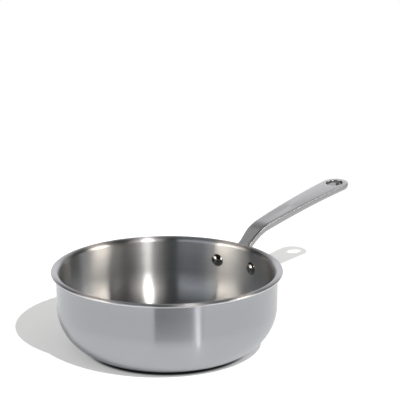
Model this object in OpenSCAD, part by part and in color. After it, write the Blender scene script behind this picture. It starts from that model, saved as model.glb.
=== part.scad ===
// Saucier pan, 3 litres, with one riveted stick handle.
// Millimetres. +Z is up, the origin is the centre of the flat underside,
// and the handle runs along +X.

/* [Vessel] */
// Height from the underside to the top of the pouring lip
pan_h = 88.3; // [70:0.1:130]
// Outside diameter of the straight wall
wall_d = 233.6; // [180:0.2:300]
// Outside radius of the curve between floor and wall
curve_r = 50.4; // [30:0.1:54]

/* [Clad sheet] */
// Thickness of the polished inner steel skin
cooking_t = 0.45; // [0.3:0.05:0.8]
// Thickness of the inner bonding layer
inner_alloy_t = 0.3; // [0.2:0.05:0.6]
// Thickness of the aluminium core
core_t = 1.3; // [0.8:0.1:2]
// Thickness of the outer bonding layer
outer_alloy_t = 0.3; // [0.2:0.05:0.6]
// Thickness of the satin outer steel skin
outer_t = 0.45; // [0.3:0.05:0.8]

/* [Pouring lip] */
// Radius under the flared lip
lip_r = 2.2; // [1.5:0.1:5]
// How far the lip turns, from straight up
lip_turn = 120; // [90:1:140]

/* [Handle] */
// Distance from the pan's axis to the centre of the hang hole
hole_x = 293.6; // [240:0.2:340]
// Diameter of the hang hole
hole_d = 19; // [10:0.5:22]
// Width of the grip at its round end
grip_w = 31.6; // [26:0.2:36]
// Width of the handle at its bend
bend_w = 19; // [15:0.5:22]
// Width of the neck where it passes the lip
neck_w = 15.5; // [13:0.5:18]
// Thickness of the neck
neck_t = 9.8; // [7:0.2:11]
// Thickness of the grip at the bend
grip_t = 10.6; // [7:0.2:12]
// Thickness of the grip at the hang hole
end_t = 9; // [6:0.2:10]
// Height of the square-cut upper edge of the handle
edge_t = 4.8; // [3:0.2:6]
// Slope of the neck above level
neck_slope = 37; // [30:1:45]
// Slope of the grip as it leaves the bend
grip_slope = 10; // [7:0.5:15]
// Slope of the grip at its end
end_slope = 5; // [2:0.5:7]
// Radius of the bend between neck and grip, along the top
bend_r = 58; // [40:1:80]
// Distance from the wall to the start of the bend
neck_reach = 21.2; // [18:0.1:30]
// Drop from the top of the lip to the top of the neck at the wall
neck_drop = 10.8; // [9:0.1:14]
// Width of the neck where it joins the flange
root_w = 25; // [20:1:30]
// Depth of the neck where it joins the flange
root_t = 19; // [15:0.5:20]
// Rounding of the hang hole's edge
hole_edge = 0.8; // [0.4:0.1:1.2]

/* [Flange and rivets] */
// Thickness of the riveting flange
flange_t = 3.2; // [2.5:0.1:4.5]
// Height of the flange at the rivets
flange_h = 22; // [19:0.5:26]
// Distance between the rivets, along the chord
rivet_pitch = 49; // [40:0.5:60]
// Drop from the top of the lip to the rivets
rivet_drop = 22; // [20:0.5:26]
// Diameter of the domed heads inside the pan
head_d = 13.6; // [10:0.2:15]
// Height of the domed heads
head_h = 3.6; // [2:0.1:4.5]
// Height of the straight edge below each dome
head_edge = 0.7; // [0.3:0.1:1]
// Diameter of the rivet shanks
shank_d = 6.4; // [5:0.1:8]
// Diameter of the upset heads on the flange
tail_d = 11.5; // [9:0.5:13]
// Height of the upset heads
tail_h = 2; // [1.2:0.1:3]
// Gap between a rivet and its hole, and between seated faces
fit = 0.05; // [0.02:0.01:0.1]

/* [Hidden] */
$fn = 96;

// Depths of the bonded faces below the outside of the sheet
outer_face = 0;
outer_bond = outer_face + outer_t;
core_outside = outer_bond + outer_alloy_t;
core_inside = core_outside + core_t;
inner_bond = core_inside + inner_alloy_t;
inner_face = inner_bond + cooking_t;
sheet_t = inner_face;

wall_r = wall_d / 2;
flat_r = wall_r - curve_r;
bend_x = wall_r + lip_r;
bend_z = pan_h - lip_r - sheet_t;
lip_end = 180 - lip_turn;
lip_mid_r = lip_r + sheet_t / 2;
// A little over half the sheet, so that the rounded edge meets both faces at a soft arris
lip_edge_r = 0.52 * sheet_t;

cavity_r = wall_r - sheet_t;
seat_r = wall_r + fit;
flange_r = seat_r + flange_t;
rivet_z = pan_h - rivet_drop;
rivet_turn = asin(rivet_pitch / 2 / wall_r);
// How far heads and shanks run into the curved faces that they meet
sag = 1;

// The floor, the curve and the wall, filled to the axis, a given depth into the sheet
module bowl_shape(depth) {
    translate([0, depth]) square([flat_r, bend_z - depth]);
    translate([0, curve_r]) square([wall_r - depth, bend_z - curve_r]);
    intersection() {
        translate([flat_r, curve_r]) circle(r = curve_r - depth);
        translate([flat_r, -curve_r]) square(2 * curve_r);
    }
}

// What the flared lip is trimmed to, ending in its rounded edge
module lip_trim() {
    far = 2 * (lip_r + sheet_t);
    polygon([[0, 0], [-far, 0], [-far, far], [0, far],
             if (lip_end < 90) [far * cos(lip_end), far * sin(lip_end)]]);
    translate([lip_mid_r * cos(lip_end), lip_mid_r * sin(lip_end)]) circle(r = lip_edge_r);
}

// The part of the flared lip between two depths
module lip_shape(outside, inside) {
    translate([bend_x, bend_z]) intersection() {
        difference() {
            circle(r = lip_r + inside);
            circle(r = lip_r + outside);
        }
        lip_trim();
    }
}

// One layer of the clad sheet, formed into the vessel and pierced for the rivets
module layer(outside, inside) {
    difference() {
        rotate_extrude() {
            difference() {
                bowl_shape(outside);
                bowl_shape(inside);
            }
            lip_shape(outside, inside);
        }
        rivet_holes();
    }
}

// Points out along a rivet's axis, from the pan's axis, at rivet height
module at_rivet(side) {
    translate([0, 0, rivet_z]) rotate([0, 0, side * rivet_turn]) rotate([0, 90, 0]) children();
}

module rivet_holes() {
    for (side = [-1, 1])
        at_rivet(side) translate([0, 0, wall_r / 2]) cylinder(d = shank_d + 2 * fit, h = wall_r);
}

// Rivet: domed head inside, shank through sheet and flange, upset head outside
module rivet(side) {
    dome_r = (pow(head_d / 2, 2) + pow(head_h - head_edge, 2)) / (2 * (head_h - head_edge));
    head_r = cavity_r - fit;
    tail_r = flange_r + fit;
    intersection() {
        at_rivet(side) translate([0, 0, head_r - head_h]) rotate_extrude() {
            intersection() {
                translate([0, dome_r]) circle(r = dome_r);
                square([head_d / 2, head_h - head_edge]);
            }
            translate([0, head_h - head_edge]) square([head_d / 2, head_edge + sag]);
        }
        cylinder(r = head_r, h = pan_h);
    }
    at_rivet(side) translate([0, 0, head_r - sag]) cylinder(d = shank_d, h = tail_r - head_r + 2 * sag);
    difference() {
        at_rivet(side) translate([0, 0, tail_r - sag]) {
            cylinder(d = tail_d, h = sag + tail_h / 2);
            translate([0, 0, sag + tail_h / 2])
                cylinder(d1 = tail_d, d2 = tail_d - tail_h, h = tail_h / 2);
        }
        cylinder(r = tail_r, h = pan_h);
    }
}

// The handle's top line, as distance out and height, and the slope, at a length along it
neck_len = neck_reach / cos(neck_slope);
bend_len = bend_r * (neck_slope - grip_slope) * PI / 180;
bend_start = [wall_r + neck_reach, pan_h - neck_drop + neck_reach * tan(neck_slope)];
bend_end = bend_start + bend_r * [sin(neck_slope) - sin(grip_slope), cos(grip_slope) - cos(neck_slope)];
mean_slope = (grip_slope + end_slope) / 2;
hole_len = neck_len + bend_len + (hole_x - bend_end[0]) / cos(mean_slope);
grip_len = hole_len - neck_len - bend_len;
grip_turn = (grip_slope - end_slope) / grip_len;

function slope(u) =
    u < neck_len ? neck_slope
    : u < neck_len + bend_len ? neck_slope - (u - neck_len) / bend_r * 180 / PI
    : grip_slope - (u - neck_len - bend_len) * grip_turn;

function top_line(u) =
    u < neck_len
        ? [wall_r + u * cos(neck_slope), pan_h - neck_drop + u * sin(neck_slope)]
    : u < neck_len + bend_len
        ? bend_start + bend_r * [sin(neck_slope) - sin(slope(u)), cos(slope(u)) - cos(neck_slope)]
    : let (r = 180 / PI / grip_turn)
        bend_end + r * [sin(grip_slope) - sin(slope(u)), cos(slope(u)) - cos(grip_slope)];

// Smooth step from 0 to 1
function ease(t) = let (c = min(max(t, 0), 1)) c * c * (3 - 2 * c);
function mix(a, b, t) = a + (b - a) * t;

// Widths and depths along the handle: flared root, neck, bend, grip, round end
root_len = 16;
end_r = grip_w / 2;
function width(u) =
    u < root_len ? mix(root_w, neck_w, ease(u / root_len))
    : u < neck_len + bend_len / 2
        ? mix(neck_w, bend_w, ease((u - root_len) / (neck_len + bend_len / 2 - root_len)))
    : u < hole_len ? mix(bend_w, grip_w, (u - neck_len - bend_len / 2) / (hole_len - neck_len - bend_len / 2))
    : grip_w * end_round(u);
function depth(u) =
    u < root_len ? mix(root_t, neck_t, ease(u / root_len))
    : u < neck_len + bend_len ? mix(neck_t, grip_t, ease((u - neck_len) / bend_len))
    : mix(grip_t, end_t, ease((u - neck_len - bend_len) / grip_len));
function end_round(u) = u < hole_len ? 1 : sqrt(max(0, 1 - pow((u - hole_len) / end_r, 2)));

// Cross-section: a nearly flat top with eased edges over a rounded belly
ring_points = 32;
top_power = 7;
belly_power = 2.6;
function signed_pow(v, p) = sign(v) * pow(abs(v), p);
function section(w, up, down) = [
    for (i = [0 : ring_points - 1])
        let (a = (i + 0.5) * 360 / ring_points, p = 2 / (sin(a) > 0 ? top_power : belly_power))
            [w / 2 * signed_pow(cos(a), p), (sin(a) > 0 ? up : down) * signed_pow(sin(a), p)]
];

// One ring of the handle. The first rings stand upright, in the flange.
function ring(u) =
    let (lean = slope(u) * ease((u - flange_t / 2) / root_len),
         up = edge_t / 2,
         p = top_line(u),
         shrink = u < hole_len ? 1 : mix(tip_share, 1, end_round(u)))
    [for (q = section(width(u), up, (depth(u) - up) * shrink))
        [p[0] - (q[1] - up) * sin(lean), q[0], p[1] + (q[1] - up) * cos(lean)]];

root_steps = 8;
neck_steps = 4;
bend_steps = 10;
grip_steps = 14;
end_steps = 9;
// The tip's rings stop just short of its point, and its belly rises there to this share
end_limit = 87;
tip_share = 0.35;
stations = concat(
    [for (i = [0 : root_steps - 1]) mix(flange_t / 2, root_len, i / root_steps)],
    [for (i = [0 : neck_steps - 1]) mix(root_len, neck_len, i / neck_steps)],
    [for (i = [0 : bend_steps - 1]) neck_len + bend_len * i / bend_steps],
    [for (i = [0 : grip_steps - 1]) mix(neck_len + bend_len, hole_len, i / grip_steps)],
    [for (i = [0 : end_steps]) hole_len + end_r * sin(end_limit * i / end_steps)]
);

module grip() {
    n = ring_points;
    rings = len(stations);
    polyhedron(
        points = [for (u = stations) each ring(u)],
        faces = concat(
            [[for (i = [0 : n - 1]) i]],
            [for (k = [0 : rings - 2], i = [0 : n - 1])
                let (a = k * n + i, b = k * n + (i + 1) % n) each [[a, a + n, b], [b, a + n, b + n]]],
            [[for (i = [n - 1 : -1 : 0]) (rings - 1) * n + i]]
        )
    );
}

// The flange is a piece of ring round the wall, cut to the outline of the rivet lugs
module flange() {
    lug_r = flange_h / 2;
    lug_y = flange_r * sin(rivet_turn);
    shield_edge = 2;
    shield_r = root_w / 2 + shield_edge;
    shield_top = pan_h - neck_drop + shield_edge;
    intersection() {
        difference() {
            cylinder(r = flange_r, h = pan_h);
            cylinder(r = seat_r, h = pan_h);
        }
        translate([wall_r / 2, 0, 0]) rotate([90, 0, 90]) linear_extrude(wall_r) union() {
            translate([-lug_y, rivet_z - lug_r]) square([2 * lug_y, flange_h]);
            for (side = [-1, 1]) translate([side * lug_y, rivet_z]) circle(r = lug_r);
            translate([0, rivet_z - lug_r + shield_edge]) circle(r = shield_r);
            translate([-shield_r, rivet_z]) square([2 * shield_r, shield_top - rivet_z]);
        }
    }
}

module hang_hole() {
    p = top_line(hole_len);
    far = grip_w;
    translate([p[0], 0, p[1]]) rotate([0, -slope(hole_len), 0]) {
        translate([0, 0, -far]) cylinder(d = hole_d, h = 2 * far);
        translate([0, 0, -hole_edge]) cylinder(d1 = hole_d, d2 = hole_d + 4 * hole_edge, h = 2 * hole_edge);
    }
}

module cooking_skin() { color("gainsboro") layer(inner_bond, inner_face); }
module inner_alloy_layer() { color("lightgrey") layer(core_inside, inner_bond); }
module core() { color("silver") layer(core_outside, core_inside); }
module outer_alloy_layer() { color("lightgrey") layer(outer_bond, core_outside); }
module outer_skin() { color("lightsteelblue") layer(outer_face, outer_bond); }

module handle() {
    color("darkgrey") difference() {
        union() {
            grip();
            flange();
        }
        hang_hole();
        rivet_holes();
    }
}

module rivet_left() { color("whitesmoke") rivet(1); }
module rivet_right() { color("whitesmoke") rivet(-1); }

cooking_skin();
inner_alloy_layer();
core();
outer_alloy_layer();
outer_skin();
handle();
rivet_left();
rivet_right();
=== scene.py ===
import math
import bmesh
import bpy
from mathutils import Matrix, Vector


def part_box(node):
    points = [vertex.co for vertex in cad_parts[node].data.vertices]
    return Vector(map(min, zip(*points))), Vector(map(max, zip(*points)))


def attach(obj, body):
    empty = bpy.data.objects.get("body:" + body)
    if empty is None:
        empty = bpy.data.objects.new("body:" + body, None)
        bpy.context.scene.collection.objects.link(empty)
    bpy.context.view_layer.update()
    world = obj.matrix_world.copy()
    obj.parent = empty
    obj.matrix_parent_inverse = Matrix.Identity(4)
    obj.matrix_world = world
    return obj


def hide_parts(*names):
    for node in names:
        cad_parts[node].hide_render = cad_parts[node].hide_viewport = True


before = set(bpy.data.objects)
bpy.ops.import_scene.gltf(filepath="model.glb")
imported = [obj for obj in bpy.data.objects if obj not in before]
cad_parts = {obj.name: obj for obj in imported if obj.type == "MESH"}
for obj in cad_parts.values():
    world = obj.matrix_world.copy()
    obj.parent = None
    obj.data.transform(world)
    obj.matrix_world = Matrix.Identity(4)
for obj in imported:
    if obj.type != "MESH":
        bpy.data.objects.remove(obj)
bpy.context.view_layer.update()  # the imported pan, in metres, handle along +X
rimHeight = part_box("cooking_skin")[1].z
print("frame loaded:", ", ".join(sorted(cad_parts)))


def sinOf(degrees):
    return math.sin(math.radians(degrees))


def cosOf(degrees):
    return math.cos(math.radians(degrees))


# Camera: a long lens, with the handle pointing away to the right

view = {
    "turn": 48.63,  # degrees between the handle and the camera's right, about the pan's axis
    "distance": 2.1086,  # from the centre of the rim
    "elevation": 17.56,  # degrees above the rim
    "aimRight": 0.0348,  # where the lens points, from the pan's axis
    "aimUp": 0.16295,
    "focal": 180, "sensor": 36,  # mm
}


def fromView(right, back, up):
    # a place as the camera sees it: to its right, away from it, and up
    cosine, sine = cosOf(view["turn"]), sinOf(view["turn"])
    return Vector((right * cosine + back * sine, back * cosine - right * sine, up))


def makeCamera():
    distance, tilt = view["distance"], view["elevation"]
    place = fromView(0, -distance * cosOf(tilt), rimHeight + distance * sinOf(tilt))
    aim = fromView(view["aimRight"], 0, view["aimUp"])
    data = bpy.data.cameras.new("camera")
    data.lens, data.sensor_width = view["focal"], view["sensor"]
    camera = bpy.data.objects.new("camera", data)
    camera.location = place
    camera.rotation_euler = (aim - place).to_track_quat("-Z", "Y").to_euler()
    bpy.context.scene.collection.objects.link(camera)
    bpy.context.scene.camera = camera


makeCamera()
bpy.context.scene.view_settings.view_transform = "Standard"
print("camera placed")

# Shader maths


class Sock:
    # an output socket that can be used in Python expressions
    def __init__(self, tree, out):
        self.tree, self.out = tree, out

    def maths(self, operation, *values):
        return addNode(self.tree, "ShaderNodeMath", {"operation": operation}, values)

    def __add__(self, other):
        return self.maths("ADD", self, other)

    def __sub__(self, other):
        return self.maths("SUBTRACT", self, other)

    def __rsub__(self, other):
        return self.maths("SUBTRACT", other, self)

    def __mul__(self, other):
        return self.maths("MULTIPLY", self, other)

    def __pow__(self, other):
        return self.maths("POWER", self, other)

    __radd__ = __add__
    __rmul__ = __mul__


def addNode(tree, kind, settings, inputs, output=0):
    # settings go in first, then values and links, by socket number or name
    node = tree.nodes.new(kind)
    for key, value in settings.items():
        setattr(node, key, value)
    pairs = inputs.items() if isinstance(inputs, dict) else enumerate(inputs)
    for key, value in pairs:
        if isinstance(value, Sock):
            tree.links.new(value.out, node.inputs[key])
        elif value is not None:
            node.inputs[key].default_value = value
    return Sock(tree, node.outputs[output]) if node.outputs else node


def mixColour(tree, share, first, second):
    return addNode(tree, "ShaderNodeMix", {"data_type": "RGBA"}, {0: share, 6: first, 7: second}, 2)


def smoothStep(tree, value, low, high):
    settings = {"interpolation_type": "SMOOTHSTEP"}
    return addNode(tree, "ShaderNodeMapRange", settings, {0: value, 1: low, 2: high, 3: 0, 4: 1})


def band(tree, value, low, high, soft):
    # 1 between two values, fading to 0 over a soft edge
    return (smoothStep(tree, value, low - soft, low + soft)
            * (1 - smoothStep(tree, value, high - soft, high + soft)))


def objectPlace(tree):
    return addNode(tree, "ShaderNodeTexCoord", {}, {}, 3)


def splitVector(tree, vector):
    return [addNode(tree, "ShaderNodeSeparateXYZ", {}, [vector], k) for k in range(3)]


def joinVector(tree, *parts):
    return addNode(tree, "ShaderNodeCombineXYZ", {}, parts)


def noise(tree, vector, scale, detail, roughness=0.5):
    return addNode(tree, "ShaderNodeTexNoise", {}, {
        "Vector": vector, "Scale": scale, "Detail": detail, "Roughness": roughness})


def newMaterial(name):
    material = bpy.data.materials.new(name)
    material.use_nodes = True
    material.node_tree.nodes.clear()
    return material, material.node_tree


def metal(tree, look, colour, roughness, height):
    # the shader at the end of every metal: height feeds its bump
    normal = addNode(tree, "ShaderNodeBump", {}, {
        "Strength": look["bump"], "Distance": look["depth"], "Height": height})
    shader = addNode(tree, "ShaderNodeBsdfPrincipled", {}, {
        "Base Color": colour, "Metallic": 1, "Roughness": roughness, "Normal": normal,
        "Anisotropic": look["stretch"], "Anisotropic Rotation": look["turn"]})
    addNode(tree, "ShaderNodeOutputMaterial", {}, [shader])


# Metals: colour runs from worn to colour, and roughness spreads, with the brushed lines;
# line lengths and widths, grain, dapples and patches are noise scales, finer as they rise

cookingSteelLook = {
    "colour": (0.57, 0.58, 0.59, 1), "worn": (0.42, 0.43, 0.44, 1), "roughness": 0.29, "spread": 0.03,
    "bump": 1.0, "depth": 0.0, "stretch": 1.0, "turn": 0.25,  # a depth of 0 is smooth to the touch
    "lineLength": 9, "lineWidth": 900, "lineShare": 0.6,
    "broadLength": 6, "broadWidth": 0.12,  # broader bands: this width is a share of the lines'
    "lip": (0.1145, 0.1165), "lipRough": 0.09,  # where the lip begins, from the pan's axis
    "lipColour": (0.56, 0.565, 0.59, 1),
}
outerSteelLook = {
    "colour": (0.435, 0.443, 0.47, 1), "worn": (0.405, 0.413, 0.44, 1), "roughness": 0.265, "spread": 0.02,
    "bump": 0.05, "depth": 0.00002, "stretch": 0.97, "turn": 0.25,
    "lineLength": 14, "lineWidth": 1400, "lineShare": 0.6,
    "broadLength": 6, "broadWidth": 0.12,
    "lip": (0.1175, 0.119), "lipRough": 0.0,
    "lipColour": (0.435, 0.443, 0.47, 1),
}


def ringBrushed(name, look):
    # brushed round and round: lines run along the circles of the vessel
    material, tree = newMaterial(name)
    x, y, z = splitVector(tree, objectPlace(tree))
    across = (x * x + y * y) ** 0.5
    ring = (z + across) * look["lineWidth"]
    line, wide = look["lineLength"], look["broadLength"]
    lines = noise(tree, joinVector(tree, x * line, y * line, ring), 1, 3, 0.6)
    broad = noise(tree, joinVector(tree, x * wide, y * wide, ring * look["broadWidth"]), 1, 2)
    shade = (lines * look["lineShare"] + broad * (1 - look["lineShare"]) - 0.5) * 2
    colour = mixColour(tree, shade * 0.5 + 0.5, look["worn"], look["colour"])
    lip = smoothStep(tree, across, *look["lip"])
    colour = mixColour(tree, lip, colour, look["lipColour"])
    rough = shade * look["spread"] + look["roughness"] + lip * look["lipRough"]
    metal(tree, look, colour, rough, lines)
    return material


handleSteelLook = {
    # side: a darker colour for the sides and belly, painted shade that dims the floor they mirror
    "colour": (0.60, 0.60, 0.615, 1), "worn": (0.50, 0.50, 0.515, 1), "side": (0.34, 0.34, 0.35, 1),
    "roughness": 0.3, "spread": 0.12, "polished": 0.16,
    "top": (0.55, 0.8),  # how far a face looks up, from the polished side, painted darker as shade, to the ground top
    "lineLength": 30, "lineWidth": 1500, "lineShare": 0.7, "grain": 1800,
    "neck": (0.142, 0.162), "dapples": 900,  # the neck is left rougher than the grip
    "dappleShade": 0.7, "dappleBump": 3, "sideBump": 0.25,
    "bump": 0.6, "depth": 0.00003, "stretch": 0.5, "turn": 0.0,
}


def castBrushed(name, look):
    # ground across the handle on its flat top, polished on its sides, with painted shade darkening the
    # sides and belly
    material, tree = newMaterial(name)
    place = objectPlace(tree)
    x, y, z = splitVector(tree, place)
    normal = addNode(tree, "ShaderNodeNewGeometry", {}, {}, 1)
    up = splitVector(tree, normal)[2]
    top = smoothStep(tree, up, *look["top"])
    along, wide = look["lineLength"], look["lineWidth"]
    lines = noise(tree, joinVector(tree, x * wide, y * along, z * wide), 1, 3, 0.6)
    grain = noise(tree, place, look["grain"], 2)
    dapples = noise(tree, place, look["dapples"], 2) * (1 - smoothStep(tree, x, *look["neck"]))
    shade = lines * look["lineShare"] + grain * (1 - look["lineShare"]) - dapples * look["dappleShade"]
    ground = mixColour(tree, shade, look["worn"], look["colour"])
    # the sides and belly take the darker side colour: painted shade
    colour = mixColour(tree, top, look["side"], ground)
    rough = look["polished"] + top * (look["roughness"] - look["polished"]) + (shade - 0.5) * look["spread"]
    height = (shade + dapples * look["dappleBump"]) * (look["sideBump"] + (1 - look["sideBump"]) * top)
    metal(tree, look, colour, rough, height)
    return material


rivetSteelLook = {
    "colour": (0.35, 0.35, 0.35, 1), "worn": (0.28, 0.28, 0.28, 1), "roughness": 0.04, "spread": 0.06,
    "bump": 0.15, "depth": 0.00001, "stretch": 0.0, "turn": 0.0,
    "grain": 1500, "patches": 260,
}


def rivetPolished(name, look):
    material, tree = newMaterial(name)
    place = objectPlace(tree)
    grain = noise(tree, place, look["grain"], 2)
    patches = noise(tree, place, look["patches"], 3)
    colour = mixColour(tree, patches, look["worn"], look["colour"])
    metal(tree, look, colour, patches * look["spread"] + look["roughness"], grain)
    return material


plyLook = {
    "colour": (0.74, 0.74, 0.75, 1), "worn": (0.62, 0.62, 0.63, 1), "roughness": 0.28, "spread": 0.1,
    "bump": 0.2, "depth": 0.00001, "stretch": 0.4, "turn": 0.25,
    "lineLength": 40, "lineWidth": 3000,
}


def plyEdge(name, look):
    # the cut and polished edge of the inner layers
    material, tree = newMaterial(name)
    x, y, z = splitVector(tree, objectPlace(tree))
    along, wide = look["lineLength"], look["lineWidth"]
    lines = noise(tree, joinVector(tree, x * along, y * along, z * wide), 1, 2)
    colour = mixColour(tree, lines, look["worn"], look["colour"])
    metal(tree, look, colour, lines * look["spread"] + look["roughness"], lines)
    return material


materials = {
    "cooking_steel": ringBrushed("cooking_steel", cookingSteelLook),
    "outer_steel": ringBrushed("outer_steel", outerSteelLook),
    "bond_alloy": plyEdge("bond_alloy", plyLook),
    "core_aluminium": plyEdge("core_aluminium", plyLook),
    "cast_steel": castBrushed("cast_steel", handleSteelLook),
    "rivet_steel": rivetPolished("rivet_steel", rivetSteelLook),
}
print("materials made")

# Mesh helpers


def lineTo(mesh, point, *places):
    # draws on from a point, through places given as distance from the axis and height
    for across, up in places:
        point = bmesh.ops.extrude_vert_indiv(mesh, verts=[point])["verts"][0]
        point.co = (across, 0, up)
    return point


def arcTo(mesh, point, centre, turn, steps):
    # draws on round a centre: a turn above 0 goes from left over the top to the right
    made = bmesh.ops.spin(mesh, geom=[point], cent=(centre[0], 0, centre[1]), axis=(0, 1, 0),
                          angle=math.radians(turn), steps=steps)["geom_last"]
    return next(part for part in made if isinstance(part, bmesh.types.BMVert))


def revolve(mesh, steps):
    bmesh.ops.spin(mesh, geom=mesh.verts[:] + mesh.edges[:], cent=(0, 0, 0), axis=(0, 0, 1),
                   angle=2 * math.pi, steps=steps, use_merge=True)


def newPiece(name, mesh, sharpAngle=40):
    bmesh.ops.remove_doubles(mesh, verts=mesh.verts[:], dist=1e-6)
    bmesh.ops.recalc_face_normals(mesh, faces=mesh.faces[:])
    data = bpy.data.meshes.new(name)
    mesh.to_mesh(data)
    mesh.free()
    piece = bpy.data.objects.new(name, data)
    bpy.context.scene.collection.objects.link(piece)
    smoothPiece(piece, sharpAngle)
    return piece


def smoothPiece(piece, sharpAngle):
    piece.data.shade_smooth()
    piece.data.set_sharp_from_angle(angle=math.radians(sharpAngle))


def combine(piece, operation, *tools):
    # joins or cuts a piece with others, which are used up
    for tool in tools:
        step = piece.modifiers.new("step", "BOOLEAN")
        step.operation, step.solver, step.object = operation, "EXACT", tool
    graph = bpy.context.evaluated_depsgraph_get()
    piece.data = bpy.data.meshes.new_from_object(piece.evaluated_get(graph))
    piece.modifiers.clear()
    for tool in tools:
        bpy.data.objects.remove(tool)
    return piece


def dress(piece, node, slot):
    piece.data.materials.clear()
    piece.data.materials.append(materials[slot])
    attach(piece, "root")
    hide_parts(node)


# Rivets

rivet = {
    "pitch": 0.049,  # between the two, along the chord
    "drop": 0.022,  # below the top of the lip
    "headWidth": 0.0136, "headHeight": 0.0036, "headEdge": 0.0007,
    "shank": 0.0064, "tailWidth": 0.0115, "tailHeight": 0.002,
    "gap": 0.00005, "round": 0.0003,  # round its free edges
    "around": 64, "domeSteps": 12, "roundSteps": 3,
}

# Vessel: five layers of clad sheet, spun to the same outline at their own depths

vessel = {
    "wall": 0.1168,  # outside radius of the straight wall
    "curve": 0.0504,  # outside radius between floor and wall
    "lip": 0.0022,  # radius under the flared lip
    "lipTurn": 120,  # degrees from straight up
    "edgeShare": 0.52,  # radius of the lip's rounded edge, as a share of the sheet
    "around": 288, "curveSteps": 30, "lipSteps": 14, "edgeSteps": 5,
    "sharpAngle": 25,
}
layers = {  # thickness in metres, node and slot, from the outside in
    "outerSkin": (0.00045, "outer_skin", "outer_steel"),
    "outerAlloyLayer": (0.0003, "outer_alloy_layer", "bond_alloy"),
    "core": (0.0013, "core", "core_aluminium"),
    "innerAlloyLayer": (0.0003, "inner_alloy_layer", "bond_alloy"),
    "cookingSkin": (0.00045, "cooking_skin", "cooking_steel"),
}
sheetThickness = sum(layer[0] for layer in layers.values())
seatRadius = vessel["wall"] + rivet["gap"]
rivetHeight = rimHeight - rivet["drop"]
rivetTurn = math.asin(rivet["pitch"] / 2 / vessel["wall"])


def lipEdge(depth):
    # where the lip's rounded edge meets a face: degrees past the end of the lip, and round the edge
    middle, edge = vessel["lip"] + sheetThickness / 2, vessel["edgeShare"] * sheetThickness
    face = vessel["lip"] + depth
    past = math.acos((middle ** 2 + face ** 2 - edge ** 2) / (2 * middle * face))
    about = math.acos((middle ** 2 + edge ** 2 - face ** 2) / (2 * middle * edge))
    return math.degrees(past), math.degrees(about)


def drawLayer(mesh, outside, inside):
    flat = vessel["wall"] - vessel["curve"]
    bend = (vessel["wall"] + vessel["lip"], rimHeight - vessel["lip"] - sheetThickness)
    corner = (flat, vessel["curve"])
    middle = vessel["lip"] + sheetThickness / 2
    end = math.radians(180 - vessel["lipTurn"])
    edge = (bend[0] + middle * math.cos(end), bend[1] + middle * math.sin(end))
    pastOut, aboutOut = lipEdge(outside)
    pastIn, aboutIn = lipEdge(inside)
    levels = (rivetHeight - rivet["headWidth"] / 2, rivetHeight + rivet["headWidth"] / 2, bend[1])
    point = bmesh.ops.create_vert(mesh, co=(0, 0, outside))["vert"][0]
    point = lineTo(mesh, point, (flat, outside))
    point = arcTo(mesh, point, corner, -90, vessel["curveSteps"])
    point = lineTo(mesh, point, *[(vessel["wall"] - outside, level) for level in levels])
    point = arcTo(mesh, point, bend, vessel["lipTurn"] + pastOut, vessel["lipSteps"])
    point = arcTo(mesh, point, edge, aboutOut - aboutIn, vessel["edgeSteps"])
    point = arcTo(mesh, point, bend, -vessel["lipTurn"] - pastIn, vessel["lipSteps"])
    point = lineTo(mesh, point, *[(vessel["wall"] - inside, level)
                                  for level in (levels[1], levels[0], vessel["curve"])])
    point = arcTo(mesh, point, corner, 90, vessel["curveSteps"])
    lineTo(mesh, point, (0, inside))


def rivetFrame(side):
    # stands at rivet height on the pan's axis and looks out along the rivet
    return (Matrix.Translation((0, 0, rivetHeight)) @ Matrix.Rotation(side * rivetTurn, 4, "Z")
            @ Matrix.Rotation(math.pi / 2, 4, "Y"))


def rivetHole(side):
    mesh = bmesh.new()
    radius = rivet["shank"] / 2 + rivet["gap"]
    bmesh.ops.create_cone(mesh, cap_ends=True, segments=rivet["around"], radius1=radius, radius2=radius,
                          depth=vessel["wall"], matrix=Matrix.Translation((0, 0, vessel["wall"])))
    mesh.transform(rivetFrame(side))
    return newPiece("rivetHole", mesh)


def makeLayers():
    outside = 0
    for name, (thickness, node, slot) in layers.items():
        mesh = bmesh.new()
        drawLayer(mesh, outside, outside + thickness)
        revolve(mesh, vessel["around"])
        piece = newPiece(name, mesh, vessel["sharpAngle"])
        combine(piece, "DIFFERENCE", rivetHole(-1), rivetHole(1))
        smoothPiece(piece, vessel["sharpAngle"])
        dress(piece, node, slot)
        outside += thickness


makeLayers()
print("vessel spun, five layers")

# Handle: one casting, with its flange on the wall

handle = {
    "holeReach": 0.2936,  # from the pan's axis to the hang hole
    "holeWidth": 0.019, "holeEdge": 0.0008,
    "gripWidth": 0.0316, "bendWidth": 0.019, "neckWidth": 0.0155, "rootWidth": 0.025,
    "gripDepth": 0.0106, "endDepth": 0.009, "neckDepth": 0.0098, "rootDepth": 0.019,
    "edge": 0.0048,  # height of the square upper edge
    "neckSlope": 37, "gripSlope": 10, "endSlope": 5,  # degrees above level
    "bendRadius": 0.058, "neckReach": 0.0212, "neckDrop": 0.0108, "rootLength": 0.016,
    "topPower": 7, "bellyPower": 2.6,
    "points": 96, "rootSteps": 14, "neckSteps": 8, "bendSteps": 24, "gripSteps": 30, "endSteps": 48,
    "holeAround": 96, "holeSteps": 6, "sharpAngle": 38,
}
flange = {
    "thickness": 0.0032, "height": 0.022, "edge": 0.002, "round": 0.0007,
    "insets": (0.003, 0.006),  # where its faces have rings, in from its outline
    "points": 144, "roundStep": 15,
}
neckLength = handle["neckReach"] / cosOf(handle["neckSlope"])
bendLength = handle["bendRadius"] * math.radians(handle["neckSlope"] - handle["gripSlope"])


def arcMove(radius, first, last):
    # how far an arc leads while its slope falls from the first to the last
    return radius * Vector((sinOf(first) - sinOf(last), 0, cosOf(last) - cosOf(first)))


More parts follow.
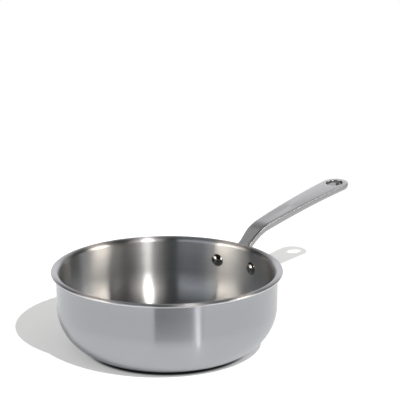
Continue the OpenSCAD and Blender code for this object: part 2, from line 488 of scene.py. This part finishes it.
neckRise = handle["neckReach"] * math.tan(math.radians(handle["neckSlope"]))
bendStart = Vector((vessel["wall"] + handle["neckReach"], 0, rimHeight - handle["neckDrop"] + neckRise))
bendEnd = bendStart + arcMove(handle["bendRadius"], handle["neckSlope"], handle["gripSlope"])
meanSlope = (handle["gripSlope"] + handle["endSlope"]) / 2
gripLength = (handle["holeReach"] - bendEnd.x) / cosOf(meanSlope)
holeLength = neckLength + bendLength + gripLength
gripTurn = (handle["gripSlope"] - handle["endSlope"]) / gripLength


def slopeAt(along):
    if along < neckLength:
        return handle["neckSlope"]
    if along < neckLength + bendLength:
        return handle["neckSlope"] - math.degrees((along - neckLength) / handle["bendRadius"])
    return handle["gripSlope"] - (along - neckLength - bendLength) * gripTurn


def topLine(along):
    # the middle of the handle's top, that far along it from the wall
    slope = slopeAt(along)
    if along < neckLength:
        level = rimHeight - handle["neckDrop"] + along * sinOf(slope)
        return Vector((vessel["wall"] + along * cosOf(slope), 0, level))
    if along < neckLength + bendLength:
        return bendStart + arcMove(handle["bendRadius"], handle["neckSlope"], slope)
    return bendEnd + arcMove(math.degrees(1 / gripTurn), handle["gripSlope"], slope)


def ease(share):
    share = min(max(share, 0), 1)
    return share * share * (3 - 2 * share)


def blendSizes(first, second, share):
    return first + (second - first) * share


def widthAt(along):
    middle = neckLength + bendLength / 2
    if along < handle["rootLength"]:
        return blendSizes(handle["rootWidth"], handle["neckWidth"], ease(along / handle["rootLength"]))
    if along < middle:
        share = ease((along - handle["rootLength"]) / (middle - handle["rootLength"]))
        return blendSizes(handle["neckWidth"], handle["bendWidth"], share)
    return blendSizes(handle["bendWidth"], handle["gripWidth"], (along - middle) / (holeLength - middle))


def depthAt(along):
    if along < handle["rootLength"]:
        return blendSizes(handle["rootDepth"], handle["neckDepth"], ease(along / handle["rootLength"]))
    if along < neckLength + bendLength:
        return blendSizes(handle["neckDepth"], handle["gripDepth"], ease((along - neckLength) / bendLength))
    share = ease((along - neckLength - bendLength) / gripLength)
    return blendSizes(handle["gripDepth"], handle["endDepth"], share)


def signedPower(value, power):
    return math.copysign(abs(value) ** power, value)


def sectionPoint(along, angle):
    # a nearly flat top with eased edges over a rounded belly
    up = handle["edge"] / 2
    down = depthAt(along) - up
    power = 2 / (handle["topPower"] if math.sin(angle) > 0 else handle["bellyPower"])
    across = widthAt(along) / 2 * signedPower(math.cos(angle), power)
    height = (up if math.sin(angle) > 0 else down) * signedPower(math.sin(angle), power) - up
    lean = slopeAt(along) * ease((along - flange["thickness"] / 2) / handle["rootLength"])
    return topLine(along) + Vector((-height * sinOf(lean), across, height * cosOf(lean)))


def loft(mesh, points, places):
    # pulls a ring of points along: each place gives a point's position from its angle
    bmesh.ops.create_circle(mesh, segments=points, radius=1)
    angleOf = mesh.verts.layers.float.new("angle")
    edges = mesh.edges[:]
    for vert in mesh.verts:
        vert[angleOf] = math.atan2(vert.co.y, vert.co.x)
    for number, place in enumerate(places):
        if number:
            made = bmesh.ops.extrude_edge_only(mesh, edges=edges)["geom"]
            edges = [part for part in made if isinstance(part, bmesh.types.BMEdge)]
        ring = {vert for edge in edges for vert in edge.verts}
        for vert in ring:
            vert.co = place(vert[angleOf])
    return edges, angleOf


def stations():
    stops = [(flange["thickness"] / 2, handle["rootSteps"]), (handle["rootLength"], handle["neckSteps"]),
             (neckLength, handle["bendSteps"]), (neckLength + bendLength, handle["gripSteps"])]
    ends = [stop[0] for stop in stops[1:]] + [holeLength]
    return [blendSizes(start, end, step / steps)
            for (start, steps), end in zip(stops, ends) for step in range(steps)] + [holeLength]


def makeGrip():
    mesh = bmesh.new()
    places = [lambda angle, along=along: sectionPoint(along, angle) for along in stations()]
    edges, angleOf = loft(mesh, handle["points"], places)
    half = [edge for edge in edges if all(math.cos(vert[angleOf]) > -1e-6 for vert in edge.verts)]
    corners = list({vert for edge in half for vert in edge.verts})
    slope = slopeAt(holeLength)
    bmesh.ops.spin(mesh, geom=half + corners, cent=topLine(holeLength),
                   axis=(-sinOf(slope), 0, cosOf(slope)), angle=-math.pi, steps=handle["endSteps"])
    bmesh.ops.remove_doubles(mesh, verts=mesh.verts[:], dist=2e-6)
    bmesh.ops.holes_fill(mesh, edges=[edge for edge in mesh.edges if edge.is_boundary])
    return newPiece("castHandle", mesh)


def flangeEdge(angle):
    # how far the flange's outline lies from the middle between the rivets
    lug, reach = flange["height"] / 2, (seatRadius + flange["thickness"]) * math.sin(rivetTurn)
    shield = handle["rootWidth"] / 2 + flange["edge"]
    side, up = abs(math.cos(angle)), math.sin(angle)
    bar = lug / max(abs(up), 1e-9)
    if bar * side > reach:
        bar = reach * side + math.sqrt(max(lug ** 2 - (reach * up) ** 2, 0))
    fall = lug - flange["edge"]
    apron = -fall * up + math.sqrt(shield ** 2 - (fall * side) ** 2)
    top = rivet["drop"] - handle["neckDrop"] + flange["edge"]
    crest = min(shield / max(side, 1e-9), top / max(up, 1e-9)) if up > 0 else 0
    return max(bar, apron, crest)


def flangePoint(angle, radius, inset):
    # on a cylinder of that radius, drawn in from the outline, or to the middle by an inset of 1
    reach = flangeEdge(angle) - inset if inset < 1 else 0
    across = reach * math.cos(angle)
    return Vector((math.sqrt(radius ** 2 - across ** 2), across, rivetHeight + reach * math.sin(angle)))


def makeFlange():
    mesh = bmesh.new()
    outer, soft = seatRadius + flange["thickness"], flange["round"]
    near, far = flange["insets"]
    rings = [(seatRadius, inset) for inset in (1, far, near, 0)]
    rings += [(outer - soft + soft * sinOf(turn), soft - soft * cosOf(turn))
              for turn in range(0, 91, flange["roundStep"])]
    rings += [(outer, inset) for inset in (near, far, 1)]
    loft(mesh, flange["points"], [lambda angle, r=r, i=i: flangePoint(angle, r, i) for r, i in rings])
    return newPiece("flange", mesh)


def hangHole():
    mesh = bmesh.new()
    radius, soft, far = handle["holeWidth"] / 2, handle["holeEdge"], 0.02
    bottom = -handle["endDepth"]
    point = bmesh.ops.create_vert(mesh, co=(0, 0, bottom - far))["vert"][0]
    point = lineTo(mesh, point, (radius + soft + far, bottom - far), (radius + soft, bottom))
    point = arcTo(mesh, point, (radius + soft, bottom + soft), 90, handle["holeSteps"])
    point = lineTo(mesh, point, (radius, -soft))
    point = arcTo(mesh, point, (radius + soft, -soft), 90, handle["holeSteps"])
    lineTo(mesh, point, (radius + soft + far, far), (0, far))
    revolve(mesh, handle["holeAround"])
    slope = slopeAt(holeLength)
    mesh.transform(Matrix.Translation(topLine(holeLength)) @ Matrix.Rotation(-math.radians(slope), 4, "Y"))
    return newPiece("hangHole", mesh)


def makeHandle():
    piece = makeGrip()
    combine(piece, "UNION", makeFlange())
    combine(piece, "DIFFERENCE", hangHole(), rivetHole(-1), rivetHole(1))
    smoothPiece(piece, handle["sharpAngle"])
    dress(piece, "handle", "cast_steel")


makeHandle()
print("handle made")


def makeRivet(name, side, node):
    mesh = bmesh.new()
    seat = vessel["wall"] - sheetThickness - rivet["gap"]
    tailSeat = seatRadius + flange["thickness"] + rivet["gap"]
    half, rise = rivet["headWidth"] / 2, rivet["headHeight"] - rivet["headEdge"]
    dome = (half ** 2 + rise ** 2) / (2 * rise)
    apex = seat - rivet["headHeight"]
    point = bmesh.ops.create_vert(mesh, co=(0, 0, apex))["vert"][0]
    point = arcTo(mesh, point, (0, apex + dome), -math.degrees(math.asin(half / dome)), rivet["domeSteps"])
    tail, step, shank = rivet["tailWidth"] / 2, rivet["tailHeight"] / 2, rivet["shank"] / 2
    lineTo(mesh, point, (half, seat), (shank, seat), (shank, tailSeat), (tail, tailSeat),
           (tail, tailSeat + step), (tail - step, tailSeat + 2 * step), (0, tailSeat + 2 * step))
    revolve(mesh, rivet["around"])
    bmesh.ops.remove_doubles(mesh, verts=mesh.verts[:], dist=1e-6)
    seats = [(vert, level) for vert in mesh.verts for level in (seat, tailSeat)
             if abs(vert.co.z - level) < 1e-6]
    seated = {vert for vert, level in seats}
    mesh.transform(rivetFrame(side))
    for vert, level in seats:  # the seats follow the round wall
        vert.co.xy *= level / vert.co.xy.length
    free = [edge for edge in mesh.edges if len(edge.link_faces) == 2
            and edge.calc_face_angle() > 0.5 and not seated & set(edge.verts)]
    bmesh.ops.bevel(mesh, geom=free, offset=rivet["round"], segments=rivet["roundSteps"],
                    profile=0.5, affect="EDGES", material=-1)
    dress(newPiece(name, mesh), node, "rivet_steel")


makeRivet("rivetLeft", 1, "rivet_left")
makeRivet("rivetRight", -1, "rivet_right")
print("rivets made")

# Floor and light

studio = {
    "keyRight": 0.6877, "keyBack": -1.4197, "keyUp": 1.6419,  # where both lamps stand in the view
    "keyPower": 38, "keySize": 0.02, "keyColour": (1, 1, 1),
    "glintPower": 8, "glintSize": 0.05, "glintColour": (1, 0.93, 0.85),  # the key as metal shows it
    "fill": 0.405,  # even light from all round
    "floor": (0.9, 0.9, 0.885, 1), "floorReach": 12, "floorDrop": 0.00005,
    "paintedShadow": (0.1, 0.1, 0.1, 1), "paintedShadowEdge": (0.081, 0.088),  # a shadow painted dark on the floor under the pan
    "floorGlow": 0.3, "outerGlow": 0.1, "outerEdge": (0.2, 0.5),
    "whiteEdge": (0.42, 0.7),  # from here the floor is plain white
    "floorInMetal": 0.35, "farInMetal": 0.6,  # how much of it metal shows
    "behind": 0.95, "inFront": 0.05, "ceiling": 0.2,  # what metal sees round the pan, and above it
    "frontEdge": (-148, 148, 8), "ceilingEdge": (30, 42),  # degrees
}
bowlAndHandle, rivets = ("cookingSkin", "castHandle"), ("rivetLeft", "rivetRight")

# Cards are seen only in the pieces named. Edges: azimuths from and to, distance and height;
# brightness: at the left, at the right, and the top's share of it

cards = {
    "darkCard": {
        "low": (-10.2, 29.4, 0.28, 0), "high": (-10.2, 29.4, 0.28, 0.2),
        "brightness": (0.03, 0.42, 1), "colour": (1, 1, 1, 1), "seenIn": ("outerSkin",)},
    "stripLamp": {
        "low": (27.2, 27.8, 0.541, 0), "high": (27.2, 27.8, 0.541, 0.3),
        "brightness": (40, 40, 1), "colour": (1, 1, 1, 1), "seenIn": ("outerSkin",)},
    "floorStreak": {
        "low": (21.4, 22.1, 0.162, 0.001), "high": (26.9, 28.1, 0.541, 0.001),
        "brightness": (3, 3, 1), "colour": (1, 1, 1, 1), "seenIn": ("outerSkin",)},
    "rightCard": {
        "low": (61.5, 81.5, 6, 0.42), "high": (77, 104, 6, 3.4),
        "brightness": (12.5, 11, 0.32), "colour": (1, 0.9, 0.79, 1), "seenIn": bowlAndHandle + rivets},
    "leftCard": {
        "low": (-94, -53, 6, 0.42), "high": (-114, -64, 6, 3.4),
        "brightness": (0.1, 14.5, 0.2), "colour": (1, 0.9, 0.79, 1), "seenIn": bowlAndHandle + rivets},
    "coolCard": {
        "low": (-51, -11.6, 6, 0.42), "high": (-62, -14, 6, 4.36),
        "brightness": (1.1, 1.1, 0.8), "colour": (0.95, 1, 1.08, 1), "seenIn": bowlAndHandle},
    "streakCard": {
        "low": (16.6, 22.6, 6, 0.42), "high": (20, 27.4, 6, 6),
        "brightness": (27, 27, 0.22), "colour": (1, 0.97, 0.93, 1), "seenIn": bowlAndHandle + rivets},
    "glowCard": {
        "low": (22.6, 42, 6, 0.42), "high": (27.4, 51, 6, 6),
        "brightness": (3, 0.4, 0.4), "colour": (1, 0.95, 0.9, 1), "seenIn": bowlAndHandle},
    "wingCard": {
        "low": (0, 16.6, 6, 0.42), "high": (0, 20, 6, 6),
        "brightness": (0.3, 4, 0.4), "colour": (1, 0.95, 0.9, 1), "seenIn": bowlAndHandle},
    "neckCard": {
        "low": (-158, -100, 2, 1), "high": (-158, -100, 2, 3.4),
        "brightness": (0.5, 0.5, 1), "colour": (1, 1, 1, 1), "seenIn": ("castHandle",)},
    "edgeCard": {
        "low": (100, 155, 1.5, 1.15), "high": (100, 155, 1.5, 1.9),
        "brightness": (1.3, 1.3, 1), "colour": (1, 1, 1, 1), "seenIn": ("castHandle",)},
}


def lightPaths(tree, *numbers):
    # 1 for camera rays (output 0), glossy rays (3) or rays that passed through (6)
    return [addNode(tree, "ShaderNodeLightPath", {}, {}, number) for number in numbers]


def makeFloor():
    mesh = bmesh.new()
    bmesh.ops.create_grid(mesh, x_segments=1, y_segments=1, size=studio["floorReach"],
                          matrix=Matrix.Translation((0, 0, -studio["floorDrop"])))
    floor = newPiece("floor", mesh)
    material, tree = newMaterial("floor")
    x, y = splitVector(tree, objectPlace(tree))[:2]
    away = (x * x + y * y) ** 0.5
    camera, mirrored, through = lightPaths(tree, 0, 3, 6)
    # clear is 0 under the pan, where a shadow is painted dark into the floor's colour
    clear = smoothStep(tree, away, *studio["paintedShadowEdge"])
    colour = mixColour(tree, clear, studio["paintedShadow"], studio["floor"])
    matt = addNode(tree, "ShaderNodeBsdfDiffuse", {}, [colour])
    outer = smoothStep(tree, away, *studio["outerEdge"])
    # no glow under the pan, which deepens the painted shadow there
    strength = clear * studio["floorGlow"] + outer * studio["outerGlow"]
    seen = camera + mirrored * studio["floorInMetal"] + through
    glow = addNode(tree, "ShaderNodeEmission", {}, [(1, 1, 1, 1), seen * strength])
    lit = addNode(tree, "ShaderNodeAddShader", {}, [matt, glow])
    white = addNode(tree, "ShaderNodeEmission", {}, [(1, 1, 1, 1), 1])
    seenFar = camera + mirrored * studio["farInMetal"] + through
    far = smoothStep(tree, away, *studio["whiteEdge"]) * seenFar
    both = addNode(tree, "ShaderNodeMixShader", {}, [far, lit, white])
    addNode(tree, "ShaderNodeOutputMaterial", {}, [both])
    floor.data.materials.append(material)


def litOnly(source, *names):
    # a lamp or card that is seen in these pieces and no others
    receivers = bpy.data.collections.new(source.name)
    for name in names:
        receivers.objects.link(bpy.data.objects[name])
    source.light_linking.receiver_collection = receivers


def makeCard(name, card):
    mesh = bmesh.new()
    across, above = [mesh.verts.layers.float.new(layer) for layer in ("across", "above")]
    corners = []
    for edge, order in (("low", (0, 1)), ("high", (1, 0))):
        distance, up = card[edge][2:]
        for side in order:
            azimuth = card[edge][side]
            place = fromView(distance * sinOf(azimuth), -distance * cosOf(azimuth), up)
            corner = bmesh.ops.create_vert(mesh, co=place)["vert"][0]
            corner[across], corner[above] = side, edge == "high"
            corners.append(corner)
    bmesh.ops.contextual_create(mesh, geom=corners)
    piece = newPiece(name, mesh)
    material, tree = newMaterial(name)
    share = addNode(tree, "ShaderNodeAttribute", {"attribute_name": "across"}, {}, 2)
    height = addNode(tree, "ShaderNodeAttribute", {"attribute_name": "above"}, {}, 2)
    left, right, top = card["brightness"]
    strength = (share * (right - left) + left) * (height * (top - 1) + 1)
    light = addNode(tree, "ShaderNodeEmission", {}, [card["colour"], strength])
    addNode(tree, "ShaderNodeOutputMaterial", {}, [light])
    piece.data.materials.append(material)
    piece.visible_camera = piece.visible_diffuse = piece.visible_shadow = False
    litOnly(piece, *card["seenIn"])


def makeWorld():
    world = bpy.data.worlds.new("studio")
    world.use_nodes = True
    tree = world.node_tree
    tree.nodes.clear()
    direction = addNode(tree, "ShaderNodeTexCoord", {}, {}, 0)
    x, y, z = splitVector(tree, direction)
    cosine, sine = cosOf(view["turn"]), sinOf(view["turn"])
    right, back = x * cosine - y * sine, x * sine + y * cosine
    around = right.maths("ARCTAN2", right, back * -1) * math.degrees(1)
    height = z.maths("ARCSINE", z) * math.degrees(1)
    front = band(tree, around, *studio["frontEdge"])
    ceiling = smoothStep(tree, height, *studio["ceilingEdge"])
    shade = studio["behind"] - ceiling * (studio["behind"] - studio["ceiling"])
    shade = shade * (1 - front) + front * studio["inFront"]
    room = joinVector(tree, shade, shade, shade)
    camera, mirrored = lightPaths(tree, 0, 3)
    plain = mixColour(tree, mirrored, (studio["fill"],) * 3 + (1,), room)
    colour = mixColour(tree, camera, plain, (1, 1, 1, 1))
    background = addNode(tree, "ShaderNodeBackground", {}, [colour, 1])
    addNode(tree, "ShaderNodeOutputWorld", {}, [background])
    bpy.context.scene.world = world


def makeLamp(name, power, size, colour):
    # as bright far off as near by
    data = bpy.data.lights.new(name, "POINT")
    data.energy, data.shadow_soft_size, data.color = power, size, colour
    data.use_nodes = True
    tree = data.node_tree
    even = addNode(tree, "ShaderNodeLightFalloff", {}, {"Strength": 1.0}, 2)
    tree.links.new(even.out, tree.nodes["Emission"].inputs["Strength"])
    lamp = bpy.data.objects.new(name, data)
    lamp.location = fromView(studio["keyRight"], studio["keyBack"], studio["keyUp"])
    bpy.context.scene.collection.objects.link(lamp)
    return lamp


def makeLamps():
    key = makeLamp("key", studio["keyPower"], studio["keySize"], studio["keyColour"])
    key.visible_glossy = False
    glint = makeLamp("glint", studio["glintPower"], studio["glintSize"], studio["glintColour"])
    glint.visible_diffuse = False
    litOnly(glint, *bowlAndHandle, *rivets)


makeFloor()
makeWorld()
for name, card in cards.items():
    makeCard(name, card)
makeLamps()
print("floor and light made")
